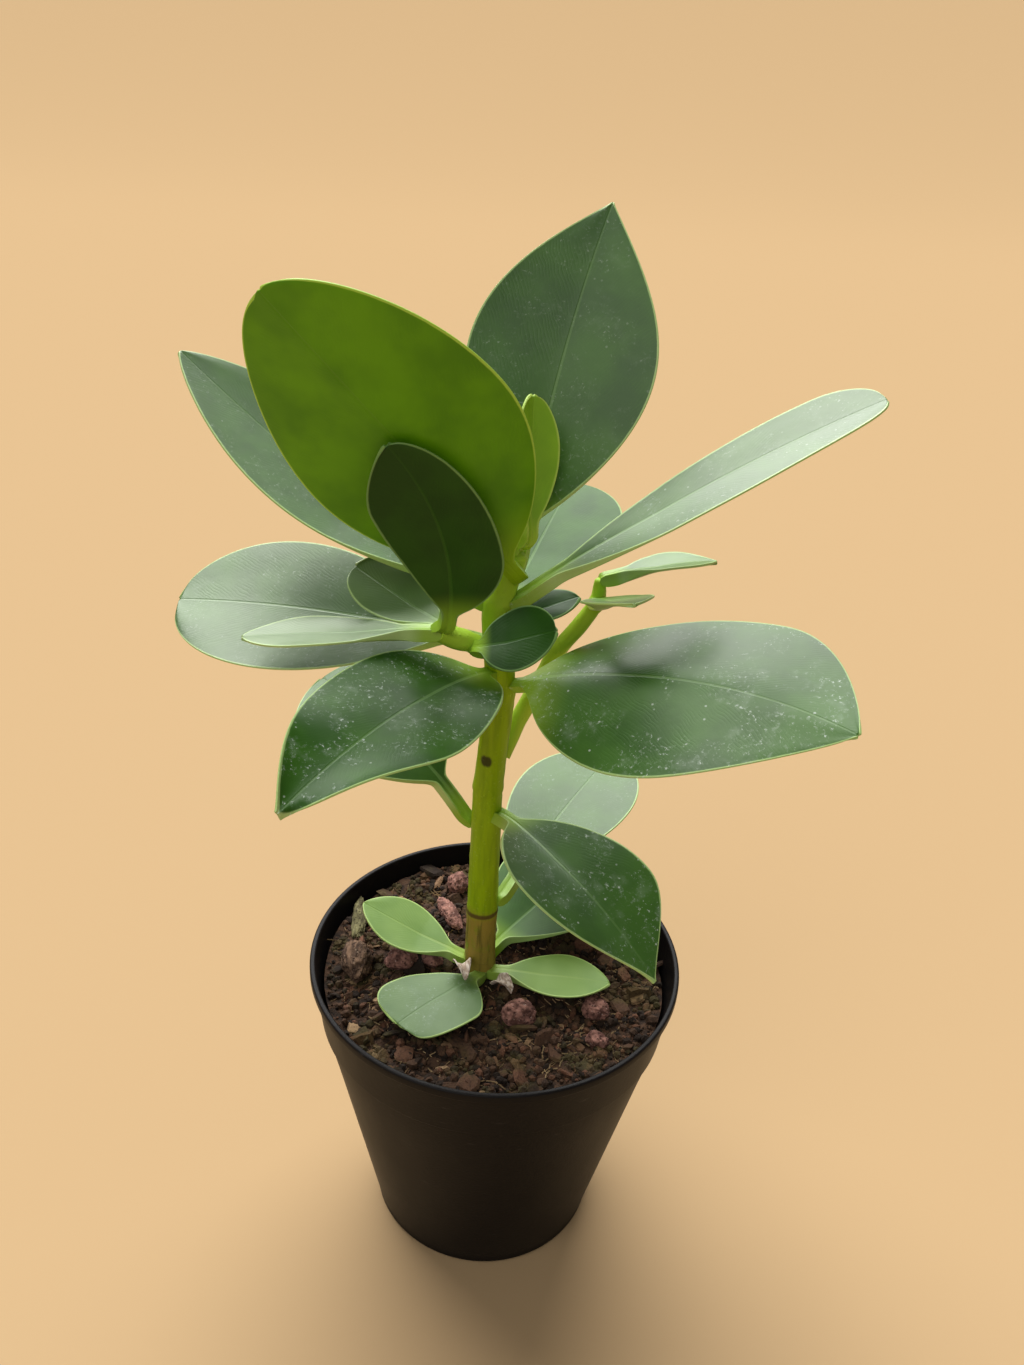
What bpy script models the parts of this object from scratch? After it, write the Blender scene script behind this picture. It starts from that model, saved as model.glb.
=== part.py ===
"""Potted clusia: a young autograph tree about 29 cm tall in a 10.5 cm round nursery pot.

X runs to the right, Y to the back and Z up, and the origin is the middle of the pot's underside.
Lengths in the tables are in millimetres and angles in degrees; headings are 0 along +X and 90 along +Y.
"""

import math
from typing import NamedTuple

import bmesh
import bpy
from mathutils import Quaternion, Vector, noise

MM = 0.001
GAP = 0.3  # kept between pieces that touch
ROUND_STEPS = 48  # facets round the pot and the soil

# The pot: a thin moulded cup with a rolled lip, a collar and a raised, drilled floor.
RIM_RADIUS = 52.5
POT_HEIGHT = 92.0
LIP_DEPTH = 2.6
LIP_WIDTH = 1.6
COLLAR_FOOT = 74.5  # height of the step under the collar
COLLAR_FOOT_RADIUS = 49.6
WALL_TOP_RADIUS = 48.8
BASE_RADIUS = 33.4
WALL = 1.2
FLOOR_RISE = 2.0
FOOT_RING_INNER = 27.5
HUB_RADIUS = 11.5
DRAIN_HOLES = 8
DRAIN_HOLE_RADIUS = 3.5
DRAIN_CIRCLE_RADIUS = 19.5

# The soil: a root ball that fills the pot to just under its rim.
SOIL_TOP = 84.2
SOIL_SLOPE = (-0.022, 0.028)  # rise to the left and to the back
SOIL_RINGS = 8
SOIL_BUMP = 1.3
SOIL_BUMP_SIZE = 17.0
STEM_BORE_RADIUS = 5.0
STEM_BORE_FLOOR = 64.0

# Stems: points (x, y, z, radius) up the middle of each.
STEM_SIDES_RESOLUTION = 4
MAIN_STEM = (
    (-4.4, 0, 67, 4.3),
    (-4.4, 0, 85, 4.4),
    (-4.5, 0, 108, 4.2),
    (-4.6, 0, 138, 4.0),
    (-4.6, 0, 149, 3.9),
    (-3.7, 0, 163, 3.8),
    (-2.9, 0, 178, 3.8),
    (-3.9, 0, 190, 3.7),
    (-4.8, 0, 200, 3.6),
    (-3.2, 0, 208, 3.5),
    (-0.9, 0, 216, 3.1),
)
LEFT_SHOOT = (
    (-7.6, -5.0, 192.5, 2.4),
    (-11.0, -7.2, 195, 2.5),
    (-15.0, -9.2, 197, 2.3),
    (-18.0, -11.5, 199, 1.9),
)
RIGHT_SHOOT = (
    (0.6, 4.8, 161.5, 2.1),
    (2.4, 6.6, 166.5, 2.3),
    (5.0, 7.6, 172, 2.3),
    (8.0, 8.0, 179, 2.2),
    (11.0, 8.0, 186, 2.1),
    (19.0, 7.5, 199, 2.0),
    (20.2, 7.0, 207, 1.4),
)

# Leaves: thick at the petiole and thin in the blade.
PETIOLE_HALF_WIDTH = 1.7
PETIOLE_THICKNESS = 3.0
BLADE_THICKNESS = 1.1
TIP_HALF_WIDTH = 0.35
SPINE_STEPS = 48
BIG_LEAF = 40.0  # a leaf longer than this gets the finer mesh


class Leaf(NamedTuple):
    """A leaf: where its petiole leaves the stem, then how its blade is held and shaped."""

    stem: tuple
    level: float  # height of the petiole's foot
    side: float  # heading of the petiole's foot from the stem's middle
    length: float  # petiole and blade along the midrib
    width: float
    heading: float  # of the middle of the midrib
    pitch: float  # of the middle of the midrib, up from level
    roll: float = 0.0  # about the midrib, raising the right-hand margin
    droop: float = 10.0  # turn of the midrib downwards from foot to tip
    swing: float = 0.0  # turn of the midrib to the left from foot to tip
    twist: float = 0.0  # turn of the blade about the midrib from foot to tip
    fold: float = 8.0  # rise of each half of the blade from the midrib
    widest: float = 0.55  # place of the greatest width along the blade
    point: float = 0.6  # 0.4 gives a blunt end, 1 a pointed one
    shoulder: float = 0.8  # 0.5 gives a broad base, 1 a tapered one
    petiole: float = 0.10  # share of the length
    wave: float = 0.0  # rise and fall of the margins towards the tip
    skew: float = 0.0  # shift of the greatest width, tipwards on the left half


LEAVES = {
    "crown_back_leaf": Leaf(
        MAIN_STEM, 212, 70, 88, 45, 66, 61, -15, 22, -8, fold=12, widest=0.48, point=1.0),
    "crown_front_leaf": Leaf(
        MAIN_STEM, 212, -70, 87, 53, -159, 49, -62, -10, -7, -25, fold=6, widest=0.48, point=0.5,
        shoulder=0.6, petiole=0.08),
    "bud_leaf_right": Leaf(
        MAIN_STEM, 218, 10, 34, 14, 95, 78, -40, 0, fold=35, widest=0.6, point=0.45),
    "bud_leaf_left": Leaf(
        MAIN_STEM, 218, 190, 37, 14, 130, 72, -30, 0, fold=25, widest=0.5, point=0.8),
    "upper_left_leaf": Leaf(
        MAIN_STEM, 202, 165, 93, 36, 163, 32.5, 10, -12, fold=6, point=0.75, skew=-0.06),
    "upper_right_leaf": Leaf(
        MAIN_STEM, 204, -10, 94, 21, 2, 34, -14, 14, -2, fold=10, widest=0.62, point=0.4, skew=0.22),
    "mid_left_leaf": Leaf(
        MAIN_STEM, 190, 150, 78, 43, 174, 2, 22, 20, fold=6, widest=0.6, point=0.42),
    "back_right_leaf": Leaf(
        MAIN_STEM, 197, 70, 58, 38, 73, 16, widest=0.62, point=0.45),
    "right_leaf": Leaf(
        MAIN_STEM, 181, -25, 86, 54, -29, 10.5, -20, 30, -22, fold=-16, widest=0.54, point=0.8,
        shoulder=0.45, petiole=0.05, skew=0.12),
    "left_front_leaf": Leaf(
        MAIN_STEM, 184, -125, 75, 37, -122, 0, 8, 40, fold=10, widest=0.48, point=1.0,
        shoulder=0.5, petiole=0.05, wave=3.5),
    "lower_left_leaf": Leaf(
        MAIN_STEM, 138, 165, 60, 42, 146, 24, 20, 70, widest=0.6, petiole=0.2),
    "lower_right_leaf": Leaf(
        MAIN_STEM, 141, -35, 61, 34, -46, -16, 0, 50, 12, fold=20, widest=0.5, point=1.15,
        petiole=0.08, skew=0.1),
    "lower_back_leaf": Leaf(
        MAIN_STEM, 111, 15, 66, 36, 60, 12, 0, 20, widest=0.6, point=0.5),
    "low_back_leaf": Leaf(
        MAIN_STEM, 88, 60, 52, 38, 48, 14, widest=0.5),
    "small_left_leaf": Leaf(
        MAIN_STEM, 89, 175, 32, 18, 165, 20, 5, 0, fold=6, point=0.65),
    "small_right_leaf": Leaf(
        MAIN_STEM, 87, -35, 33, 17.5, -8, 5, fold=6, point=0.65),
    "small_front_leaf": Leaf(
        MAIN_STEM, 87, -88, 30, 26, -134, 3, 0, 20, fold=4, widest=0.58, point=0.22, skew=-0.2),
    "axil_leaf": Leaf(
        MAIN_STEM, 199, -32, 16.5, 10.5, 8, 22, -15, fold=10),
    "left_shoot_upright_leaf": Leaf(
        LEFT_SHOOT, 201, -10, 50, 25, -146, 71, 118, 0, 48, fold=10, widest=0.5, point=0.55,
        shoulder=0.7, petiole=0.08, skew=0.2),
    "left_shoot_long_leaf": Leaf(
        LEFT_SHOOT, 198.5, 180, 44, 15, -177, -4, 0, 5, fold=10, widest=0.6),
    "left_shoot_back_leaf": Leaf(
        LEFT_SHOOT, 196.5, 120, 29, 18, 153, 20, 20, 0, fold=10, widest=0.6, point=0.4),
    "left_shoot_round_leaf": Leaf(
        LEFT_SHOOT, 194.5, -60, 20.5, 17.5, -15, 25, -35, 0, fold=6, widest=0.52, point=0.45,
        shoulder=0.5, petiole=0.06),
    "right_shoot_tip_leaf": Leaf(
        RIGHT_SHOOT, 207, 0, 26, 12, 5, 12, 6, 20, fold=18, widest=0.5, point=0.8),
    "right_shoot_front_leaf": Leaf(
        RIGHT_SHOOT, 201.5, -80, 22, 18, -70, 25, 0, 10, fold=8, widest=0.5, point=0.8),
}

# Bits that lie on the soil: middle (x, y), half sizes, turn and tilt.
SOIL_PIECES = {
    "bark_chunk": ((-39.5, -2.0), (4.2, 7.5, 4.0), 12, "bark"),
    "moss_stick": ((-41.5, 16.0), (2.0, 9.0, 1.8), 5, "moss"),
    "red_stone_left": ((-27.0, -0.5), (4.5, 3.4, 3.0), 20, "lava_stone"),
    "red_stone_middle": ((-18.0, 1.5), (3.2, 2.4, 1.9), -30, "lava_stone"),
    "back_stone": ((-13.0, 35.0), (3.2, 4.0, 3.2), 0, "lava_stone"),
    "long_stone": ((-14.5, 21.0), (2.6, 7.0, 2.2), 28, "lava_stone"),
    "dark_stone": ((7.5, -17.0), (4.6, 4.0, 3.4), 15, "lava_stone"),
    "right_stone": ((29.0, -12.5), (3.6, 3.8, 2.8), 40, "lava_stone"),
    "front_stone": ((29.0, -23.5), (3.2, 2.4, 2.0), -20, "lava_stone"),
}
STONE_ROUGHNESS = 0.22
STONE_LIFT = 0.9  # keeps a stone clear of the bumps under it

# Dried bud scales curled round the stem's foot: foot (x, y, z), heading, length, width.
DRY_BRACTS = {
    "dry_bract_left": ((-9.6, -4.6, 91.0), -75, 6.5, 5.0),
    "dry_bract_right": ((0.2, -9.4, 89.0), -35, 6.0, 4.5),
}

FINISHES = {  # colour, roughness
    "pot_plastic": ((0.012, 0.010, 0.010), 0.45),
    "soil": ((0.030, 0.016, 0.009), 0.95),
    "stem_green": ((0.16, 0.26, 0.03), 0.45),
    "leaf_green": ((0.055, 0.13, 0.06), 0.40),
    "leaf_young": ((0.20, 0.37, 0.02), 0.40),
    "leaf_small": ((0.19, 0.36, 0.12), 0.45),
    "bark": ((0.12, 0.07, 0.045), 0.85),
    "moss": ((0.12, 0.10, 0.045), 0.90),
    "lava_stone": ((0.22, 0.09, 0.065), 0.85),
    "dry_scale": ((0.55, 0.45, 0.34), 0.70),
}
YOUNG_LEAVES = {"crown_front_leaf", "bud_leaf_right", "bud_leaf_left"}
SMALL_LEAVES = {"small_left_leaf", "small_right_leaf", "small_front_leaf"}


def clear_scene():
    for obj in list(bpy.data.objects):
        bpy.data.objects.remove(obj, do_unlink=True)


def new_collection(name):
    collection = bpy.data.collections.new(name)
    bpy.context.scene.collection.children.link(collection)
    return collection


def make_finish(name):
    colour, roughness = FINISHES[name]
    material = bpy.data.materials.new(name)
    material.use_nodes = True
    shader = material.node_tree.nodes["Principled BSDF"]
    shader.inputs["Base Color"].default_value = (*colour, 1.0)
    shader.inputs["Roughness"].default_value = roughness
    return material


def mesh_object(name, bm, collection, material=None):
    mesh = bpy.data.meshes.new(name)
    bm.to_mesh(mesh)
    bm.free()
    mesh.shade_smooth()
    mesh.set_sharp_from_angle(angle=math.radians(40))
    if material:
        mesh.materials.append(material)
    obj = bpy.data.objects.new(name, mesh)
    collection.objects.link(obj)
    return obj


def wall_radius(height):
    """The outer radius of the plain wall under the collar."""
    share = (height - FLOOR_RISE) / (COLLAR_FOOT - FLOOR_RISE)
    return BASE_RADIUS + (WALL_TOP_RADIUS - BASE_RADIUS) * share


def pot_profile():
    """Points (radius, height) from the middle of the floor up the inside, over the lip and down."""
    lip_foot = POT_HEIGHT - LIP_DEPTH
    lip_inside = RIM_RADIUS - LIP_WIDTH
    collar_top = RIM_RADIUS - 0.7
    inside = [
        (0.0, WALL),
        (HUB_RADIUS - WALL, WALL),
        (HUB_RADIUS, FLOOR_RISE + WALL),
        (FOOT_RING_INNER, FLOOR_RISE + WALL),
        (FOOT_RING_INNER + WALL, WALL),
        (BASE_RADIUS - 2.2, WALL),
        (wall_radius(3.0) - WALL, 3.0),
        (wall_radius(COLLAR_FOOT) - WALL, COLLAR_FOOT),
        (COLLAR_FOOT_RADIUS - WALL, COLLAR_FOOT + 1.2),
        (collar_top - WALL, lip_foot),
        (lip_inside, POT_HEIGHT - 0.5),
    ]
    outside = [
        (lip_inside + 0.5, POT_HEIGHT),
        (RIM_RADIUS - 0.5, POT_HEIGHT),
        (RIM_RADIUS, POT_HEIGHT - 0.5),
        (RIM_RADIUS, lip_foot + 0.4),
        (collar_top, lip_foot),
        (COLLAR_FOOT_RADIUS, COLLAR_FOOT + 0.4),
        (WALL_TOP_RADIUS, COLLAR_FOOT - 0.6),
        (BASE_RADIUS, FLOOR_RISE),
        (BASE_RADIUS - 0.4, 0.6),
        (BASE_RADIUS - 1.2, 0.0),
        (FOOT_RING_INNER, 0.0),
        (FOOT_RING_INNER - WALL, FLOOR_RISE),
        (HUB_RADIUS + WALL, FLOOR_RISE),
        (HUB_RADIUS, 0.0),
        (0.0, 0.0),
    ]
    return inside + outside


def make_pot(collection, cutters, material):
    bm = bmesh.new()
    points = [bm.verts.new((radius * MM, 0.0, height * MM)) for radius, height in pot_profile()]
    for first, second in zip(points, points[1:]):
        bm.edges.new((first, second))
    pot = mesh_object("nursery_pot", bm, collection, material)
    screw = pot.modifiers.new("turn", "SCREW")
    screw.axis = "Z"
    screw.steps = ROUND_STEPS
    screw.render_steps = ROUND_STEPS
    screw.use_merge_vertices = True
    screw.merge_threshold = 0.00001

    bm = bmesh.new()
    for index in range(DRAIN_HOLES):
        angle = math.tau * (index + 0.5) / DRAIN_HOLES
        made = bmesh.ops.create_cone(
            bm, cap_ends=True, segments=12, depth=8 * MM,
            radius1=DRAIN_HOLE_RADIUS * MM, radius2=DRAIN_HOLE_RADIUS * MM)
        centre = Vector((math.cos(angle), math.sin(angle), 0)) * DRAIN_CIRCLE_RADIUS * MM
        centre.z = FLOOR_RISE * MM
        bmesh.ops.translate(bm, verts=made["verts"], vec=centre)
    drill = mesh_object("drain_drill", bm, cutters)
    cut = pot.modifiers.new("drain_holes", "BOOLEAN")
    cut.operation = "DIFFERENCE"
    cut.object = drill
    hide(drill)


def hide(cutter):
    cutter.hide_render = True
    cutter.display_type = "WIRE"


def soil_height(x, y):
    """The height of the soil's surface, in millimetres."""
    bumps = noise.noise(Vector((x, y, 3.0)) / SOIL_BUMP_SIZE)
    return SOIL_TOP + SOIL_BUMP * bumps + SOIL_SLOPE[0] * x + SOIL_SLOPE[1] * y


def make_soil(collection, cutters, material):
    floor = FLOOR_RISE + WALL + GAP
    top_radius = COLLAR_FOOT_RADIUS - WALL - GAP + 0.5
    neck_radius = wall_radius(COLLAR_FOOT) - WALL - GAP
    rings = [(top_radius * step / SOIL_RINGS, SOIL_TOP) for step in range(SOIL_RINGS, -1, -1)]
    profile = [(0.0, floor), (wall_radius(floor) - WALL - GAP, floor), (neck_radius, COLLAR_FOOT)]
    profile += rings
    bm = bmesh.new()
    points = [bm.verts.new((radius * MM, 0.0, height * MM)) for radius, height in profile]
    edges = [bm.edges.new(pair) for pair in zip(points, points[1:])]
    bmesh.ops.spin(
        bm, geom=points + edges, axis=(0, 0, 1), cent=(0, 0, 0), steps=ROUND_STEPS,
        angle=math.tau, use_duplicate=False)
    bmesh.ops.remove_doubles(bm, verts=bm.verts, dist=0.00001)
    for vert in bm.verts:
        if vert.co.z > (SOIL_TOP - 1) * MM:
            vert.co.z = soil_height(vert.co.x / MM, vert.co.y / MM) * MM
    bmesh.ops.recalc_face_normals(bm, faces=bm.faces)
    soil = mesh_object("potting_soil", bm, collection, material)

    bm = bmesh.new()
    depth = SOIL_TOP + 8 - STEM_BORE_FLOOR
    bmesh.ops.create_cone(
        bm, cap_ends=True, segments=20, depth=depth * MM,
        radius1=STEM_BORE_RADIUS * MM, radius2=STEM_BORE_RADIUS * MM)
    centre = Vector((MAIN_STEM[0][0], MAIN_STEM[0][1], STEM_BORE_FLOOR + depth / 2)) * MM
    bmesh.ops.translate(bm, verts=bm.verts, vec=centre)
    bore = mesh_object("stem_bore", bm, cutters)
    cut = soil.modifiers.new("stem_bore", "BOOLEAN")
    cut.operation = "DIFFERENCE"
    cut.object = bore
    hide(bore)


def smooth_route(route, steps=3):
    """The route with points added on a Catmull-Rom curve through its own."""
    knots = [Vector(point) for point in route]
    ends = [knots[0] * 2 - knots[1], *knots, knots[-1] * 2 - knots[-2]]
    found = []
    for before, start, stop, after in zip(ends, ends[1:], ends[2:], ends[3:]):
        for step in range(steps):
            t = step / steps
            found.append(0.5 * (
                2 * start + (stop - before) * t
                + (2 * before - 5 * start + 4 * stop - after) * t ** 2
                + (3 * start - before - 3 * stop + after) * t ** 3))
    return found + [knots[-1]]


def make_stem(name, route, collection, material):
    curve = bpy.data.curves.new(name, "CURVE")
    curve.dimensions = "3D"
    curve.bevel_depth = MM
    curve.bevel_resolution = STEM_SIDES_RESOLUTION
    curve.use_fill_caps = True
    points = smooth_route(route)
    spline = curve.splines.new("POLY")
    spline.points.add(len(points) - 1)
    for point, place in zip(spline.points, points):
        point.co = (place.x * MM, place.y * MM, place.z * MM, 1.0)
        point.radius = place.w
    curve.materials.append(material)
    collection.objects.link(bpy.data.objects.new(name, curve))


def stem_at(route, level):
    """The middle of the stem at this height, and its radius; past the end it carries straight on."""
    if level >= route[-1][2]:
        return Vector((route[-1][0], route[-1][1], level)), route[-1][3]
    for low, high in zip(route, route[1:]):
        if low[2] <= level <= high[2]:
            here = Vector(low).lerp(Vector(high), (level - low[2]) / (high[2] - low[2]))
            return here.to_3d(), here.w
    raise ValueError(f"no stem at {level} mm")


def leaf_frames(leaf):
    """(foot-to-tip direction, right-hand side, upper side) at any share of the leaf's length."""
    heading, pitch, roll = (math.radians(a) for a in (leaf.heading, leaf.pitch, leaf.roll))
    along = Vector((
        math.cos(pitch) * math.cos(heading), math.cos(pitch) * math.sin(heading), math.sin(pitch)))
    level_side = Vector((math.sin(heading), -math.cos(heading), 0.0))
    turned = Quaternion(along, -roll)
    side = turned @ level_side
    up = side.cross(along)
    spin = (
        along * math.radians(leaf.twist)
        - side * math.radians(leaf.droop)
        + up * math.radians(leaf.swing))

    def frame(share):
        turn = Quaternion(spin, spin.length * (share - 0.5)) if spin.length else Quaternion()
        return turn @ along, turn @ side, turn @ up

    return frame


def petiole_foot(leaf, frame):
    """Where the petiole starts, clear of the stem."""
    centre, radius = stem_at(leaf.stem, leaf.level)
    if leaf.level > leaf.stem[-1][2]:
        reach = 2.2
    else:
        steepness = abs(frame(0.0)[0].z)
        reach = radius + GAP + 0.4 + PETIOLE_HALF_WIDTH * steepness
    side = math.radians(leaf.side)
    return centre + Vector((math.cos(side), math.sin(side), 0.0)) * reach


def leaf_spine(leaf, shares):
    """The point of the midrib at each share of the length."""
    frame = leaf_frames(leaf)
    step = leaf.length / SPINE_STEPS
    places = [petiole_foot(leaf, frame)]
    for index in range(SPINE_STEPS):
        places.append(places[-1] + frame((index + 0.5) / SPINE_STEPS)[0] * step)
    found = []
    for share in shares:
        index = min(int(share * SPINE_STEPS), SPINE_STEPS - 1)
        found.append(places[index].lerp(places[index + 1], share * SPINE_STEPS - index))
    return found


def half_width(leaf, share, across):
    """The width of one half of the leaf at this share of its length, the left one for across > 0."""
    blade = (share - leaf.petiole) / (1 - leaf.petiole)
    if blade <= 0:
        return PETIOLE_HALF_WIDTH
    widest = leaf.widest + (leaf.skew if across > 0 else -leaf.skew)
    if blade < widest:
        shape = math.sin(math.pi / 2 * blade / widest) ** leaf.shoulder
    else:
        shape = max(math.cos(math.pi / 2 * (blade - widest) / (1 - widest)), 0.0)
        shape **= leaf.point
    least = PETIOLE_HALF_WIDTH if blade < 0.5 else TIP_HALF_WIDTH
    return max(leaf.width / 2 * shape, least)


def blade_rise(leaf, share, across, width):
    """How far a point across the leaf stands above the midrib, for -1 <= across <= 1."""
    blade = max((share - leaf.petiole) / (1 - leaf.petiole), 0.0)
    fold = math.radians(leaf.fold) * (1 - 0.6 * blade)
    rounded = math.sqrt(across ** 2 + 0.01) - 0.1
    ripple = math.sin(3 * math.pi * blade + (0.8 if across > 0 else 0.0))
    return width * rounded * math.sin(fold) + leaf.wave * ripple * across ** 2 * blade


def make_leaf(name, leaf, collection, material):
    rows, columns = (12, 6) if leaf.length > BIG_LEAF else (8, 4)
    bm = bmesh.new()
    bmesh.ops.create_grid(bm, x_segments=rows, y_segments=columns, size=1.0)
    frame = leaf_frames(leaf)
    weights = {}
    for vert in bm.verts:
        share = 1 - (1 - (vert.co.x + 1) / 2) ** 1.35
        across = vert.co.y
        width = half_width(leaf, share, across)
        spine = leaf_spine(leaf, [share])[0]
        along, side, up = frame(share)
        rise = blade_rise(leaf, share, across, width)
        vert.co = (spine - side * width * across + up * rise) * MM
        blade = min(max((share - leaf.petiole) / 0.3, 0.0), 1.0)
        thickness = PETIOLE_THICKNESS + (BLADE_THICKNESS - PETIOLE_THICKNESS) * blade
        weights[vert.index] = thickness / PETIOLE_THICKNESS
    obj = mesh_object(name, bm, collection, material)
    group = obj.vertex_groups.new(name="thickness")
    for index, weight in weights.items():
        group.add([index], weight, "REPLACE")
    solid = obj.modifiers.new("thickness", "SOLIDIFY")
    solid.thickness = PETIOLE_THICKNESS * MM
    solid.offset = 0.0
    solid.vertex_group = group.name


def make_soil_piece(name, place, half_size, turn, collection, material):
    bm = bmesh.new()
    bmesh.ops.create_icosphere(bm, subdivisions=2, radius=1.0)
    twist = Quaternion((0, 0, 1), math.radians(turn))
    for vert in bm.verts:
        jag = 1 + STONE_ROUGHNESS * noise.noise(vert.co * 1.3 + Vector((*place, 0.0)))
        local = twist @ Vector(a * b for a, b in zip(vert.co * jag, half_size))
        x, y = local.x + place[0], local.y + place[1]
        ground = soil_height(x, y) + STONE_LIFT
        vert.co = Vector((x, y, max(ground + 0.6 * half_size[2] + local.z, ground))) * MM
    bmesh.ops.remove_doubles(bm, verts=bm.verts, dist=0.00002)
    mesh_object(name, bm, collection, material)


def make_bract(name, foot, heading, length, width, collection, material):
    """A curled scrap of a dried scale."""
    bm = bmesh.new()
    bmesh.ops.create_grid(bm, x_segments=5, y_segments=4, size=1.0)
    turn = Quaternion((0, 0, 1), math.radians(heading))
    for vert in bm.verts:
        along, across = (vert.co.x + 1) / 2, vert.co.y
        half = width / 2 * (1 - 0.7 * along ** 2)
        curl = 1.8 * across ** 2 + 2.2 * math.sin(math.pi * along)
        local = turn @ Vector((length * along, half * across, curl))
        vert.co = (Vector(foot) + local) * MM
    obj = mesh_object(name, bm, collection, material)
    solid = obj.modifiers.new("thickness", "SOLIDIFY")
    solid.thickness = 0.6 * MM
    solid.offset = 0.0


def leaf_finish(name):
    if name in YOUNG_LEAVES:
        return "leaf_young"
    return "leaf_small" if name in SMALL_LEAVES else "leaf_green"


def main():
    clear_scene()
    plant = new_collection("potted_clusia")
    cutters = new_collection("cutters")
    finishes = {name: make_finish(name) for name in FINISHES}
    make_pot(plant, cutters, finishes["pot_plastic"])
    make_soil(plant, cutters, finishes["soil"])
    stems = {"main_stem": MAIN_STEM, "left_shoot": LEFT_SHOOT, "right_shoot": RIGHT_SHOOT}
    for name, route in stems.items():
        make_stem(name, route, plant, finishes["stem_green"])
    for name, leaf in LEAVES.items():
        make_leaf(name, leaf, plant, finishes[leaf_finish(name)])
    for name, (place, half_size, turn, finish) in SOIL_PIECES.items():
        make_soil_piece(name, place, half_size, turn, plant, finishes[finish])
    for name, (foot, heading, length, width) in DRY_BRACTS.items():
        make_bract(name, foot, heading, length, width, plant, finishes["dry_scale"])


main()
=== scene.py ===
"""The finished look of the potted clusia, built round its CAD solids.

Lengths in the tables are in millimetres and angles in degrees; headings are 0 along +X and 90 along +Y.
"""

import math
import random
from typing import NamedTuple

import bpy
from mathutils import Matrix, Quaternion, Vector, noise


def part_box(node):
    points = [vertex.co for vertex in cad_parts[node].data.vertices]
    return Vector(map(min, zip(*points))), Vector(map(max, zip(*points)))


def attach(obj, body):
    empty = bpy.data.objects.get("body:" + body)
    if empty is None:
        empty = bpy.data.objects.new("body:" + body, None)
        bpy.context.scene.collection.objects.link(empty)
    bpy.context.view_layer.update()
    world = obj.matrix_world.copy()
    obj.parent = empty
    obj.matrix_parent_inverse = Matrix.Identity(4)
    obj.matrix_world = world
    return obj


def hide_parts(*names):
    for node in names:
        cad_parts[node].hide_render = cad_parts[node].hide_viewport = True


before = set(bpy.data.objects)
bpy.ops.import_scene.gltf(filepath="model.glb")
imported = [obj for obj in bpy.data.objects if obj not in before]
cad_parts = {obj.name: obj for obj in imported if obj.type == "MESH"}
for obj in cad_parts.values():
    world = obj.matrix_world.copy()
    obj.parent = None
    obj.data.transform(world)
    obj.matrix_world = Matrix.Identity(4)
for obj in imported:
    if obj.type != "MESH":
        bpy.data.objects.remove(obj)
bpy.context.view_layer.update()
MM = 0.001

# ---------------------------------------------------------------------------------------------
# The studio: a pale tan floor that rises gently far behind the plant, a broad even skylight from
# high behind it on the left, and a soft fill from the front.
# The camera looks down on the pot from the front, as someone holding it would.
# ---------------------------------------------------------------------------------------------
CAMERA_PLACE = (0.0, -0.262, 0.327)
CAMERA_TILT = 60.8
CAMERA_LEAN = 3.5
FLOOR_COLOUR = (0.440, 0.300, 0.160, 1.0)
FLOOR_RISE_START = 2.0
FLOOR_SLOPE = 0.25

bpy.ops.object.select_all(action="DESELECT")
bpy.ops.object.camera_add(location=CAMERA_PLACE)
camera = bpy.context.object
camera.rotation_euler = (
    Matrix.Rotation(math.radians(CAMERA_TILT), 3, "X")
    @ Matrix.Rotation(math.radians(CAMERA_LEAN), 3, "Z")).to_euler()
camera.data.lens = 31.65
camera.data.sensor_width = 36.0
camera.data.clip_start = 0.01
bpy.context.scene.camera = camera
bpy.context.scene.view_settings.view_transform = "Standard"

bpy.ops.mesh.primitive_grid_add(
    x_subdivisions=2, y_subdivisions=120, size=30.0, location=(0, 0, -0.0005))
floor = bpy.context.object
floor.name = "studio_floor"
for vert in floor.data.vertices:
    past = max(vert.co.y - FLOOR_RISE_START, 0.0)
    vert.co.z = FLOOR_SLOPE * past ** 2 / (past + 2.0)
floor.data.shade_smooth()
floor_finish = bpy.data.materials.new("studio_floor")
floor_finish.use_nodes = True
floor_shader = floor_finish.node_tree.nodes["Principled BSDF"]
floor_shader.inputs["Base Color"].default_value = FLOOR_COLOUR
floor_shader.inputs["Roughness"].default_value = 0.9
floor_shader.inputs["Specular IOR Level"].default_value = 0.0
floor.data.materials.append(floor_finish)

world = bpy.data.worlds.new("studio")
world.use_nodes = True
world.node_tree.nodes["Background"].inputs["Color"].default_value = (1.0, 0.98, 0.95, 1.0)
world.node_tree.nodes["Background"].inputs["Strength"].default_value = 0.20
bpy.context.scene.world = world


def shine_from(name, heading, height, spread, strength):
    """Broad even light from one part of the sky, with angles in degrees."""
    bpy.ops.object.light_add(type="SUN", location=(0, 0, 2.0))
    light = bpy.context.object
    light.name = name
    light.data.angle = math.radians(spread)
    light.data.energy = strength
    level = math.cos(math.radians(height))
    source = Vector((
        level * math.cos(math.radians(heading)), level * math.sin(math.radians(heading)),
        math.sin(math.radians(height))))
    light.rotation_euler = (-source).to_track_quat("-Z", "Y").to_euler()


shine_from("skylight_behind", 106.0, 52.0, 62.0, 5.8)
shine_from("front_fill", -115.0, 45.0, 50.0, 0.9)

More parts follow.
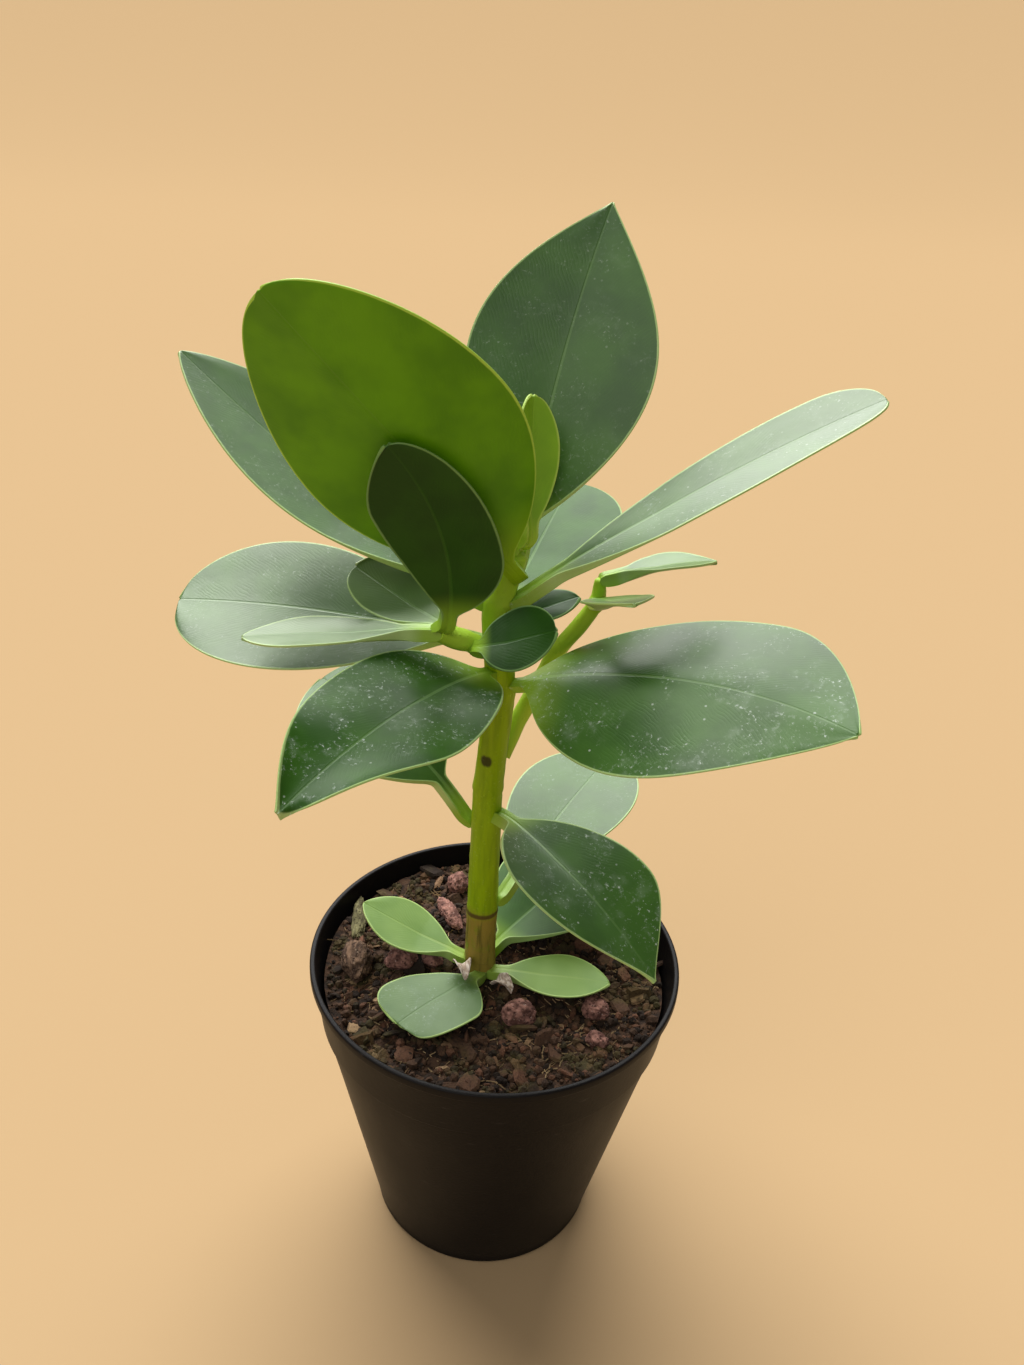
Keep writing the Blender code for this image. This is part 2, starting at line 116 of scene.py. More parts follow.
# ---------------------------------------------------------------------------------------------
# The pot: a thin injection-moulded nursery pot in black plastic, with a rolled lip, a slightly
# wider collar under it and a raised floor with drain holes inside the foot ring.
# ---------------------------------------------------------------------------------------------
POT_SIDES = 128
POT_WALL = 1.2
COLLAR_FOOT = 74.5
COLLAR_FOOT_RADIUS = 49.6
WALL_TOP_RADIUS = 48.8
BASE_RADIUS = 33.4
FLOOR_RISE = 2.0
FOOT_RING_INNER = 27.5
HUB_RADIUS = 11.5
DRAIN_HOLES = 8
DRAIN_HOLE_RADIUS = 3.5
DRAIN_CIRCLE_RADIUS = 19.5
POT_BLACK = (0.0075, 0.0062, 0.0060)
POT_SCUFF = (0.055, 0.050, 0.048)

pot_low, pot_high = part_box("nursery_pot")
RIM_RADIUS = (pot_high.x - pot_low.x) / 2 / MM
POT_HEIGHT = pot_high.z / MM


class Signal:
    """A value that runs between nodes; sums on it add Math nodes."""

    def __init__(self, finish, socket):
        self.finish = finish
        self.socket = socket

    def maths(self, operation, first, second=0.0):
        return self.finish.node("ShaderNodeMath", {"operation": operation}, {0: first, 1: second})

    def __add__(self, other):
        return self.maths("ADD", self, other)

    def __sub__(self, other):
        return self.maths("SUBTRACT", self, other)

    def __rsub__(self, other):
        return self.maths("SUBTRACT", other, self)

    def __mul__(self, other):
        return self.maths("MULTIPLY", self, other)

    def __truediv__(self, other):
        return self.maths("DIVIDE", self, other)

    def __abs__(self):
        return self.maths("ABSOLUTE", self)

    __radd__ = __add__
    __rmul__ = __mul__


class Finish:
    """A Principled material, built up from nodes."""

    def __init__(self, name, **settings):
        self.material = bpy.data.materials.new(name)
        self.material.use_nodes = True
        self.tree = self.material.node_tree
        self.shader = self.tree.nodes["Principled BSDF"]
        for socket, value in settings.items():
            self.plug(self.shader.inputs[socket.replace("_", " ")], value)

    def plug(self, socket, value):
        """Links a signal to the socket, or sets a plain value on it."""
        if isinstance(value, Signal):
            self.tree.links.new(value.socket, socket)
        elif socket.type == "RGBA" and len(value) == 3:
            socket.default_value = (*value, 1.0)
        else:
            socket.default_value = value

    def node(self, kind, settings=None, inputs=None, output=0):
        """A new node of this kind, with its settings made before its sockets are filled."""
        made = self.tree.nodes.new(kind)
        for name, value in (settings or {}).items():
            setattr(made, name, value)
        for socket, value in (inputs or {}).items():
            self.plug(made.inputs[socket], value)
        return Signal(self, made.outputs[output])

    def place(self):
        """Object coordinates, in metres."""
        return self.node("ShaderNodeTexCoord", output="Object")

    def attribute(self, name):
        return self.node("ShaderNodeAttribute", {"attribute_name": name}, output="Fac")

    def noise(self, size, detail=3.0, roughness=0.55, stretch=None):
        """Noise from 0 to 1 whose lumps are about this many millimetres across."""
        where = self.place()
        if stretch:
            where = self.node("ShaderNodeMapping", None, {"Vector": where, "Scale": stretch})
        return self.node("ShaderNodeTexNoise", None, {
            "Vector": where, "Scale": 1 / (size * MM), "Detail": detail, "Roughness": roughness})

    def cells(self, size):
        """The distance to the nearest of points spread about this many millimetres apart."""
        return self.node("ShaderNodeTexVoronoi", None, {
            "Vector": self.place(), "Scale": 1 / (size * MM)}, "Distance")

    def fade(self, value, low, high):
        """0 where the value is low, 1 where it is high, and smooth between them."""
        return self.node("ShaderNodeMapRange", {"interpolation_type": "SMOOTHSTEP"}, {
            "Value": value, "From Min": low, "From Max": high})

    def blend(self, factor, first, second):
        """The first colour at 0 and the second at 1."""
        return self.node("ShaderNodeMix", {"data_type": "RGBA"}, {
            0: factor, 6: first, 7: second}, 2)

    def paint(self, colour=None, roughness=None, relief=None, depth=0.2):
        """Joins the colour, roughness and relief (depth in millimetres) to the shader."""
        if colour is not None:
            self.plug(self.shader.inputs["Base Color"], colour)
        if roughness is not None:
            self.plug(self.shader.inputs["Roughness"], roughness)
        if relief is not None:
            bump = self.node("ShaderNodeBump", None, {
                "Height": relief, "Strength": 1.0, "Distance": depth * MM})
            self.plug(self.shader.inputs["Normal"], bump)
        return self.material


def start_shape(name):
    """Names the new primitive and its mesh, and hands it back."""
    shape = bpy.context.object
    shape.name = name
    shape.data.name = name
    return shape


def finish_piece(piece, material, node_names=(), smooth_angle=40):
    """Gives the piece its material, smooth shading and place in the plant."""
    piece.data.materials.clear()
    piece.data.materials.append(material)
    bpy.ops.object.select_all(action="DESELECT")
    piece.select_set(True)
    bpy.context.view_layer.objects.active = piece
    bpy.ops.object.transform_apply(location=True, rotation=True, scale=True)
    bpy.ops.object.shade_smooth_by_angle(angle=math.radians(smooth_angle))
    piece.select_set(False)
    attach(piece, "root")
    if node_names:
        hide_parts(*node_names)


def turn_shape(name, profile, sides):
    """A closed shape turned about Z, from a profile of (radius, height) with both ends near it."""
    bpy.ops.object.select_all(action="DESELECT")
    radius, height = profile[0]
    bpy.ops.mesh.primitive_circle_add(
        vertices=sides, radius=radius * MM, fill_type="NGON", location=(0, 0, height * MM))
    shape = start_shape(name)
    bpy.ops.object.mode_set(mode="EDIT")
    bpy.ops.mesh.select_all(action="SELECT")
    for next_radius, next_height in profile[1:]:
        rise = (next_height - height) * MM
        bpy.ops.mesh.extrude_region_move(TRANSFORM_OT_translate={"value": (0, 0, rise)})
        grow = next_radius / radius
        bpy.ops.transform.resize(
            value=(grow, grow, 1), center_override=(0, 0, next_height * MM))
        radius, height = next_radius, next_height
    bpy.ops.mesh.select_all(action="SELECT")
    bpy.ops.mesh.normals_make_consistent(inside=False)
    bpy.ops.object.mode_set(mode="OBJECT")
    bpy.ops.object.transform_apply(location=True, rotation=True, scale=True)
    return shape


def wall_radius(height):
    """The outside of the tapered wall under the collar."""
    share = (height - FLOOR_RISE) / (COLLAR_FOOT - FLOOR_RISE)
    return BASE_RADIUS + (WALL_TOP_RADIUS - BASE_RADIUS) * share


def corner(centre_radius, centre_height, radius, start, stop, steps=5):
    """Points round a small rounded corner of the pot's section."""
    angles = [math.radians(start + (stop - start) * step / steps) for step in range(steps + 1)]
    return [
        (centre_radius + radius * math.cos(a), centre_height + radius * math.sin(a))
        for a in angles]


lip_foot = POT_HEIGHT - 2.6
lip_inside = RIM_RADIUS - 1.6
collar_top = RIM_RADIUS - 0.7
pot_profile = [
    (HUB_RADIUS - POT_WALL, POT_WALL),
    (HUB_RADIUS, FLOOR_RISE + POT_WALL),
    (FOOT_RING_INNER, FLOOR_RISE + POT_WALL),
    (FOOT_RING_INNER + POT_WALL, POT_WALL),
    (BASE_RADIUS - 2.2, POT_WALL),
    *[(wall_radius(height) - POT_WALL, height) for height in (3.0, 20.0, 40.0, 60.0, COLLAR_FOOT)],
    (COLLAR_FOOT_RADIUS - POT_WALL, COLLAR_FOOT + 1.2),
    (collar_top - POT_WALL, lip_foot),
    *corner(lip_inside + 0.55, POT_HEIGHT - 0.55, 0.55, 180, 90),
    *corner(RIM_RADIUS - 0.6, POT_HEIGHT - 0.6, 0.6, 90, 0),
    *corner(RIM_RADIUS - 0.35, lip_foot + 0.35, 0.35, 0, -90, 3),
    (collar_top + 0.05, lip_foot + 0.02),
    (collar_top, lip_foot - 0.25),
    (collar_top - 0.4, lip_foot - 3.0),
    (COLLAR_FOOT_RADIUS + 0.5, COLLAR_FOOT + 5.0),
    *corner(COLLAR_FOOT_RADIUS - 0.35, COLLAR_FOOT + 0.5, 0.35, 0, -70, 3),
    (WALL_TOP_RADIUS + 0.05, COLLAR_FOOT - 0.2),
    (WALL_TOP_RADIUS - 0.02, COLLAR_FOOT - 0.8),
    *[(wall_radius(height), height) for height in (60.0, 45.0, 30.0, 15.0, 4.0)],
    (BASE_RADIUS, FLOOR_RISE),
    *corner(BASE_RADIUS - 1.1, 1.1, 1.1, 0, -90),
    (FOOT_RING_INNER, 0.0),
    (FOOT_RING_INNER - POT_WALL, FLOOR_RISE),
    (HUB_RADIUS + POT_WALL, FLOOR_RISE),
    (HUB_RADIUS, 0.0),
]
pot = turn_shape("black_nursery_pot", pot_profile, POT_SIDES)

drills = []
for hole in range(DRAIN_HOLES):
    angle = math.tau * (hole + 0.5) / DRAIN_HOLES
    bpy.ops.mesh.primitive_cylinder_add(
        vertices=24, radius=DRAIN_HOLE_RADIUS * MM, depth=8 * MM, location=(
            DRAIN_CIRCLE_RADIUS * MM * math.cos(angle),
            DRAIN_CIRCLE_RADIUS * MM * math.sin(angle), FLOOR_RISE * MM))
    drills.append(bpy.context.object)
bpy.ops.object.select_all(action="DESELECT")
for drill in drills:
    drill.select_set(True)
bpy.context.view_layer.objects.active = drills[0]
bpy.ops.object.join()
drain_drill = bpy.context.object
bpy.ops.object.select_all(action="DESELECT")
pot.select_set(True)
bpy.context.view_layer.objects.active = pot
drain = pot.modifiers.new("drain_holes", "BOOLEAN")
drain.operation = "DIFFERENCE"
drain.object = drain_drill
bpy.ops.object.modifier_apply(modifier=drain.name)
bpy.data.objects.remove(drain_drill)

plastic = Finish("black_plastic", Specular_IOR_Level=0.1)
grain = plastic.noise(0.9, 4.0)
smears = plastic.noise(22.0, 3.0, stretch=(1.0, 1.0, 0.35))
scratches = plastic.fade(plastic.noise(7.0, 5.0, stretch=(1.0, 1.0, 6.0)), 0.66, 0.74)
dust = plastic.fade(plastic.cells(2.6), 0.10, 0.03) * plastic.fade(plastic.noise(9.0), 0.5, 0.62)
pot_colour = plastic.blend(scratches * 0.35 + dust * 0.6, POT_BLACK, POT_SCUFF)
finish_piece(
    pot,
    plastic.paint(pot_colour, smears * 0.20 + 0.34 + dust * 0.2, grain + smears * 2.0, 0.05),
    ["nursery_pot"], 35)

# ---------------------------------------------------------------------------------------------
# The soil: a damp peat mix, one root ball that fills the pot. Its surface is lumpy and is strewn
# with crumbs, bark flakes and short straw-coloured fibres.
# ---------------------------------------------------------------------------------------------
SOIL_SIDES = 180
SOIL_TOP = 84.2
SOIL_SLOPE = (-0.022, 0.028)
SOIL_EDGE = 48.2
SOIL_RINGS = 58
SOIL_SEED = 11
CRUMBS = 4600
FLAKES = 360
FIBRES = 640
FIBRE_RINGS = 6
PEAT_DARK = (0.017, 0.010, 0.006)
PEAT_BROWN = (0.075, 0.038, 0.020)
PEAT_RED = (0.140, 0.060, 0.032)
STRAW = (0.480, 0.330, 0.170)
MOSS = (0.085, 0.068, 0.018)


def soil_height(x, y):
    """The height of the root ball's broad surface, in millimetres."""
    bumps = noise.noise(Vector((x, y, 3.0)) / 17.0)
    return SOIL_TOP + 1.3 * bumps + SOIL_SLOPE[0] * x + SOIL_SLOPE[1] * y


def soil_surface(x, y):
    """The same with its lumps."""
    lumps = 1.1 * noise.noise(Vector((x, y, 9.0)) / 5.5)
    lumps += 0.75 * noise.noise(Vector((x, y, 5.0)) / 2.2)
    return soil_height(x, y) + lumps


soil_floor = FLOOR_RISE + POT_WALL + 0.3
soil_profile = [(4.0, soil_floor), (wall_radius(soil_floor) - POT_WALL - 0.3, soil_floor)]
soil_profile += [(wall_radius(height) - POT_WALL - 0.3, height) for height in (30.0, 55.0, 74.0)]
soil_profile += [
    (SOIL_EDGE * (1 - ring / SOIL_RINGS) + 0.4, SOIL_TOP) for ring in range(SOIL_RINGS + 1)]
soil = turn_shape("peat_soil", soil_profile, SOIL_SIDES)
for vert in soil.data.vertices:
    if vert.co.z > (SOIL_TOP - 1) * MM:
        vert.co.z = soil_surface(vert.co.x / MM, vert.co.y / MM) * MM

peat = Finish("peat", Specular_IOR_Level=0.3)
clods = peat.noise(3.2, 5.0)
threads = peat.noise(1.1, 6.0)
peat_colour = peat.blend(peat.fade(clods, 0.35, 0.62), PEAT_DARK, PEAT_BROWN)
peat_colour = peat.blend(peat.fade(threads, 0.58, 0.72) * 0.6, peat_colour, PEAT_RED)
finish_piece(
    soil, peat.paint(peat_colour, 0.95, clods + threads * 0.6, 1.1), ["potting_soil"], 60)


def strewn_piece(name, points, faces, tones):
    """One mesh of all these small shapes, with a colour tone stored for each vertex."""
    mesh = bpy.data.meshes.new(name)
    mesh.from_pydata(points, [], faces)
    piece = bpy.data.objects.new(name, mesh)
    bpy.context.scene.collection.objects.link(piece)
    layer = mesh.attributes.new("tone", "FLOAT", "POINT")
    layer.data.foreach_set("value", tones)
    return piece


def scatter(name, seed_shape, count, sizes, tones, dice, sink=0.35, flat=1.0):
    """Copies of one small shape laid on the soil and joined in one mesh, each turned its own way."""
    points, faces, toned = [], [], []
    seed_points = [vert.co.copy() for vert in seed_shape.data.vertices]
    seed_faces = [tuple(face.vertices) for face in seed_shape.data.polygons]
    for _ in range(count):
        reach = math.sqrt(dice.uniform(0, (SOIL_EDGE - 0.6) ** 2))
        angle = dice.uniform(0, math.tau)
        x, y = reach * math.cos(angle), reach * math.sin(angle)
        size = sizes[0] + (sizes[1] - sizes[0]) * dice.random() ** 2.2
        stretch = Vector((dice.uniform(0.7, 1.4), dice.uniform(0.7, 1.1), flat)) * size
        lie = Quaternion((0, 0, 1), dice.uniform(0, math.tau))
        lie @= Quaternion((1, 0, 0), dice.gauss(0, 0.5 if flat < 1 else 1.5))
        ground = Vector((x, y, soil_surface(x, y) + size * flat * (1 - 2 * sink)))
        tone = dice.choice(tones) + dice.uniform(-0.05, 0.05)
        base = len(points)
        for point in seed_points:
            jag = 1 + 0.35 * noise.noise(point * 1.7 + ground)
            local = Vector(a * b * jag for a, b in zip(point, stretch))
            points.append((ground + lie @ local) * MM)
            toned.append(tone)
        faces += [tuple(base + index for index in face) for face in seed_faces]
    return strewn_piece(name, points, faces, toned)


def ground_finish():
    """Dark peat, red-brown and straw, chosen by each bit's own tone, with mossy patches."""
    finish = Finish("soil_bits", Specular_IOR_Level=0.3)
    tone = finish.attribute("tone")
    specks = finish.noise(0.7, 4.0)
    colour = finish.blend(finish.fade(tone, 0.15, 0.45), PEAT_DARK, PEAT_BROWN)
    colour = finish.blend(finish.fade(tone, 0.45, 0.7), colour, PEAT_RED)
    colour = finish.blend(finish.fade(tone, 0.72, 0.95), colour, STRAW)
    colour = finish.blend(finish.fade(finish.noise(12.0), 0.48, 0.62) * 0.5, colour, MOSS)
    colour = finish.blend(finish.fade(specks, 0.45, 0.7) * 0.5, colour, PEAT_DARK)
    return finish.paint(colour, 0.92, specks, 0.3)


ground = ground_finish()
soil_dice = random.Random(SOIL_SEED)
bpy.ops.object.select_all(action="DESELECT")
bpy.ops.mesh.primitive_ico_sphere_add(subdivisions=1, radius=1.0)
crumb_seed = bpy.context.object
crumbs = scatter(
    "soil_crumbs", crumb_seed, CRUMBS, (0.3, 1.5), (0.05, 0.1, 0.2, 0.3, 0.4, 0.45, 0.6), soil_dice)
finish_piece(crumbs, ground, smooth_angle=25)
bpy.data.objects.remove(crumb_seed)

bpy.ops.mesh.primitive_cube_add(size=2.0)
flake_seed = bpy.context.object
bpy.ops.object.mode_set(mode="EDIT")
bpy.ops.mesh.select_all(action="SELECT")
bpy.ops.mesh.subdivide(number_cuts=1, smoothness=0.6)
bpy.ops.object.mode_set(mode="OBJECT")
flakes = scatter(
    "bark_flakes", flake_seed, FLAKES, (0.7, 2.5), (0.2, 0.35, 0.45, 0.55, 0.65, 0.8), soil_dice,
    sink=0.1, flat=0.28)
finish_piece(flakes, ground, smooth_angle=25)
bpy.data.objects.remove(flake_seed)


def lay_fibres(name, count, dice):
    """Short bent straws, each a thin three-sided tube with closed ends."""
    points, faces, toned = [], [], []
    for _ in range(count):
        reach = math.sqrt(dice.uniform(0, (SOIL_EDGE - 4) ** 2))
        angle = dice.uniform(0, math.tau)
        x, y = reach * math.cos(angle), reach * math.sin(angle)
        way = dice.uniform(0, math.tau)
        bend = dice.gauss(0, 0.25)
        thick = dice.uniform(0.08, 0.22)
        step = dice.uniform(0.5, 1.8)
        tone = dice.choice((0.5, 0.7, 0.85, 0.95, 1.0))
        base = len(points)
        for ring in range(FIBRE_RINGS):
            lift = thick * 0.6 + (0.5 if ring in (0, FIBRE_RINGS - 1) else 0.2)
            middle = Vector((x, y, soil_surface(x, y) + lift))
            across = Vector((-math.sin(way), math.cos(way), 0.0))
            for turn in (90, 210, 330):
                spoke = across * math.cos(math.radians(turn))
                spoke += Vector((0, 0, 1)) * math.sin(math.radians(turn))
                points.append((middle + spoke * thick) * MM)
                toned.append(tone)
            x, y, way = x + math.cos(way) * step, y + math.sin(way) * step, way + bend
        faces.append((base, base + 2, base + 1))
        for ring in range(FIBRE_RINGS - 1):
            low = base + ring * 3
            for side in range(3):
                beside = (side + 1) % 3
                faces.append((low + side, low + beside, low + 3 + beside, low + 3 + side))
        faces.append(tuple(len(points) - 3 + side for side in range(3)))
    return strewn_piece(name, points, faces, toned)


finish_piece(lay_fibres("straw_fibres", FIBRES, soil_dice), ground, smooth_angle=80)

# ---------------------------------------------------------------------------------------------
# Loose bits on the soil: pinkish-brown lava stones with pores, a chunk of bark and a pale
# mossy stick. Each lies pressed a little into the surface.
# ---------------------------------------------------------------------------------------------
LOOSE_BITS = {  # middle (x, y), half sizes, turn, finish
    "bark_chunk": ((-39.5, -2.0), (4.2, 7.5, 4.0), 12, "bark"),
    "moss_stick": ((-41.5, 16.0), (2.0, 9.0, 1.8), 5, "moss"),
    "red_stone_left": ((-27.0, -0.5), (4.5, 3.4, 3.0), 20, "lava_stone"),
    "red_stone_middle": ((-18.0, 1.5), (3.2, 2.4, 1.9), -30, "lava_stone"),
    "back_stone": ((-13.0, 35.0), (3.2, 4.0, 3.2), 0, "lava_stone"),
    "long_stone": ((-14.5, 21.0), (2.6, 7.0, 2.2), 28, "lava_stone"),
    "dark_stone": ((7.5, -17.0), (4.6, 4.0, 3.4), 15, "lava_stone"),
    "right_stone": ((29.0, -12.5), (3.6, 3.8, 2.8), 40, "lava_stone"),
    "front_stone": ((29.0, -23.5), (3.2, 2.4, 2.0), -20, "lava_stone"),
}
BIT_COLOURS = {  # dark, light, dust
    "lava_stone": ((0.090, 0.038, 0.028), (0.340, 0.165, 0.125), (0.50, 0.36, 0.30)),
    "bark": ((0.045, 0.024, 0.014), (0.170, 0.100, 0.060), (0.30, 0.22, 0.15)),
    "moss": ((0.060, 0.050, 0.022), (0.190, 0.170, 0.075), (0.36, 0.33, 0.20)),
}


def bit_finish(name):
    """Rough and blotched, with pores darkened as painted shade and a dusting; stone is even and wood
    has a grain.
    """
    dark, light, dusty = BIT_COLOURS[name]
    finish = Finish(name, Specular_IOR_Level=0.25)
    grain_way = (1.0, 1.0, 1.0) if name == "lava_stone" else (1.6, 0.35, 1.6)
    blotches = finish.noise(2.2, 5.0, stretch=grain_way)
    pores = finish.fade(finish.cells(1.1), 0.32, 0.12)
    colour = finish.blend(finish.fade(blotches, 0.35, 0.65), dark, light)
    colour = finish.blend(finish.fade(finish.noise(0.8, 3.0), 0.60, 0.75) * 0.6, colour, dusty)
    # Painted shade: the pores are darkened where shade falls inside them.
    colour = finish.blend(pores * 0.7, colour, dark)
    return finish.paint(colour, 0.9, blotches * 1.5 - pores, 0.45)


bit_finishes = {name: bit_finish(name) for name in BIT_COLOURS}
for name, (place, half_size, turn, finish_name) in LOOSE_BITS.items():
    bpy.ops.object.select_all(action="DESELECT")
    bpy.ops.mesh.primitive_ico_sphere_add(subdivisions=5, radius=1.0)
    bit = start_shape(name + "_detailed")
    lie = Quaternion((0, 0, 1), math.radians(turn))
    for vert in bit.data.vertices:
        broad = 0.22 * noise.noise(vert.co * 1.3 + Vector((*place, 0.0)))
        facets = -0.16 * abs(noise.noise(vert.co * 2.6 + Vector((*place, 4.0))))
        pits = 0.07 * noise.noise(vert.co * 7.0) + 0.035 * noise.noise(vert.co * 16.0)
        local = lie @ Vector(
            a * b * (1.06 + broad + facets + pits) for a, b in zip(vert.co, half_size))
        x, y = local.x + place[0], local.y + place[1]
        ground_level = soil_height(x, y) + 0.2
        height = max(soil_height(*place) + 0.6 * half_size[2] + 0.6 + local.z, ground_level)
        vert.co = Vector((x, y, height)) * MM
    finish_piece(bit, bit_finishes[finish_name], [name], 60)

# ---------------------------------------------------------------------------------------------
# The stems: a green main stem with rings where leaves have been, browner and streaked under the
# lowest ring, and a side shoot on each side of it.
# ---------------------------------------------------------------------------------------------
MAIN_STEM = (  # middle (x, y, z) and radius, foot to tip
    (-4.4, 0, 67, 4.3),
    (-4.4, 0, 85, 4.4),
    (-4.5, 0, 108, 4.2),
    (-4.6, 0, 138, 4.0),
    (-4.6, 0, 149, 3.9),
    (-3.7, 0, 163, 3.8),
    (-2.9, 0, 178, 3.8),
    (-3.9, 0, 190, 3.7),
    (-4.8, 0, 200, 3.6),
    (-3.2, 0, 208, 3.5),
    (-0.9, 0, 216, 3.1),
)
LEFT_SHOOT = (
    (-7.6, -5.0, 192.5, 2.4),
    (-11.0, -7.2, 195, 2.5),
    (-15.0, -9.2, 197, 2.3),
    (-18.0, -11.5, 199, 1.9),
)
RIGHT_SHOOT = (
    (0.6, 4.8, 161.5, 2.1),
    (2.4, 6.6, 166.5, 2.3),
    (5.0, 7.6, 172, 2.3),
    (8.0, 8.0, 179, 2.2),
    (11.0, 8.0, 186, 2.1),
    (19.0, 7.5, 199, 2.0),
    (20.2, 7.0, 207, 1.4),
)
LEFT_SHOOT_ROOT = (-5.0, -2.2, 190.5, 2.6)
RIGHT_SHOOT_ROOT = (-1.6, 2.4, 157.5, 2.4)
STEM_SIDES = 28
ROUTE_STEPS = 12
STEM_NODES = {  # heights of the swollen rings
    "main_stem": (87, 108, 138, 149, 178, 189.5, 203),
    "left_shoot": (196.5,),
    "right_shoot": (200,),
}
BARK_RING = 108.0
CROWN_YOUNG_FROM = 192
SHOOTS_YOUNG_FROM = 150
SCAR_MIDDLE = (-5.6, -3.6, 159.0)
STEM_GREEN = (0.280, 0.440, 0.004)
STEM_DARK_GREEN = (0.170, 0.280, 0.006)
STEM_YOUNG = (0.400, 0.620, 0.045)
STEM_TAN = (0.330, 0.200, 0.045)
STEM_BROWN = (0.095, 0.055, 0.018)
SCAR_BROWN = (0.030, 0.022, 0.008)


def smooth_route(route):
    """The route with points added on a Catmull-Rom curve through its own."""
    knots = [Vector(point) for point in route]
    ends = [knots[0] * 2 - knots[1], *knots, knots[-1] * 2 - knots[-2]]
    found = []
    for before, start, stop, after in zip(ends, ends[1:], ends[2:], ends[3:]):
        for step in range(ROUTE_STEPS):
            t = step / ROUTE_STEPS
            found.append(0.5 * (
                2 * start + (stop - before) * t
                + (2 * before - 5 * start + 4 * stop - after) * t ** 2
                + (3 * start - before - 3 * stop + after) * t ** 3))
    return found + [knots[-1]]


def grow_stem(name, route):
    """A closed rod laid along its route, swollen at its rings and narrowed at its tip."""
    points = smooth_route(route)
    rings_at = STEM_NODES[name]
    bpy.ops.object.select_all(action="DESELECT")
    bpy.ops.mesh.primitive_cylinder_add(
        vertices=STEM_SIDES, radius=1.0, depth=2.0, end_fill_type="TRIFAN")
    stem = start_shape(name + "_detailed")
    bpy.ops.object.mode_set(mode="EDIT")
    bpy.ops.mesh.select_all(action="DESELECT")
    bpy.ops.mesh.select_mode(type="EDGE")
    bpy.ops.object.mode_set(mode="OBJECT")
    for edge in stem.data.edges:
        low, high = (stem.data.vertices[index].co for index in edge.vertices)
        edge.select = abs(high.z - low.z) > 1.0
    bpy.ops.object.mode_set(mode="EDIT")
    bpy.ops.mesh.subdivide(number_cuts=len(points) * 3)
    bpy.ops.object.mode_set(mode="OBJECT")
    heights = []
    for vert in stem.data.vertices:
        share = (vert.co.z + 1) / 2 * (len(points) - 1)
        index = min(int(share), len(points) - 2)
        here = points[index].lerp(points[index + 1], share - index)
        ahead = (points[index + 1] - points[index]).to_3d().normalized()
        side = Vector((0, 1, 0)).cross(ahead).normalized()
        front = ahead.cross(side)
        angle = math.atan2(vert.co.y, vert.co.x)
        rim = math.hypot(vert.co.x, vert.co.y)
        swell = sum(0.30 * math.exp(-((here.z - level) / 1.5) ** 2) for level in rings_at)
        swell -= sum(0.16 * math.exp(-((here.z - level + 1.6) / 0.5) ** 2) for level in rings_at)
        facing = side * math.cos(angle) + front * math.sin(angle)
        waver = 0.16 * noise.noise(Vector((math.cos(angle), math.sin(angle), here.z / 5)) * 1.4)
        taper = 1.0 if share < len(points) - 1.02 else 0.75
        radius = (here.w + swell + waver) * rim * taper
        vert.co = (here.to_3d() + facing * radius) * MM
        heights.append(here.z)
    layer = stem.data.attributes.new("height", "FLOAT", "POINT")
    layer.data.foreach_set("value", heights)
    return stem


def stem_finish(name, young_from, brown_below=None):
    """Streaked green bark, yellower from young_from up; brown_below adds the bark ring and scar."""
    finish = Finish(name, Specular_IOR_Level=0.15)
    height = finish.attribute("height")
    streaks = finish.noise(1.6, 5.0, stretch=(1.0, 1.0, 0.12))
    blotches = finish.noise(5.0, 4.0)
    pimples = finish.fade(finish.cells(1.5), 0.28, 0.10)
    colour = finish.blend(finish.fade(streaks, 0.35, 0.70) * 0.6, STEM_GREEN, STEM_DARK_GREEN)
    colour = finish.blend(finish.fade(height, young_from, young_from + 14), colour, STEM_YOUNG)
    colour = finish.blend(pimples * 0.22, colour, STEM_YOUNG)
    if brown_below:
        ragged = height + blotches * 7.0
        browning = finish.fade(ragged, brown_below + 6.0, brown_below + 1.0)
        tan = finish.blend(finish.fade(streaks, 0.50, 0.72) * 0.8, STEM_TAN, STEM_BROWN)
        tan = finish.blend(finish.fade(blotches, 0.55, 0.70) * 0.6, tan, STEM_DARK_GREEN)
        colour = finish.blend(browning * 0.85, colour, tan)
        ring = finish.fade(abs(height - brown_below + blotches * 1.2 - 0.6), 1.0, 0.35)
        colour = finish.blend(ring * 0.9, colour, STEM_BROWN)
        off_scar = finish.node("ShaderNodeVectorMath", {"operation": "DISTANCE"}, {
            0: finish.place(), 1: [size * MM for size in SCAR_MIDDLE]}, "Value")
        scar = finish.fade(off_scar / MM + (streaks - 0.5) * 2.0, 2.1, 1.2)
        colour = finish.blend(scar * 0.9, colour, SCAR_BROWN)
    return finish.paint(colour, streaks * 0.2 + 0.34, streaks + pimples * 0.5, 0.18)


finish_piece(
    grow_stem("main_stem", MAIN_STEM),
    stem_finish("green_stem", young_from=CROWN_YOUNG_FROM, brown_below=BARK_RING),
    ["main_stem"], 60)
shoot_finish = stem_finish("green_shoot", young_from=SHOOTS_YOUNG_FROM)
for name, route in (
        ("left_shoot", (LEFT_SHOOT_ROOT, *LEFT_SHOOT)),
        ("right_shoot", (RIGHT_SHOOT_ROOT, *RIGHT_SHOOT))):
    finish_piece(grow_stem(name, route), shoot_finish, [name], 60)

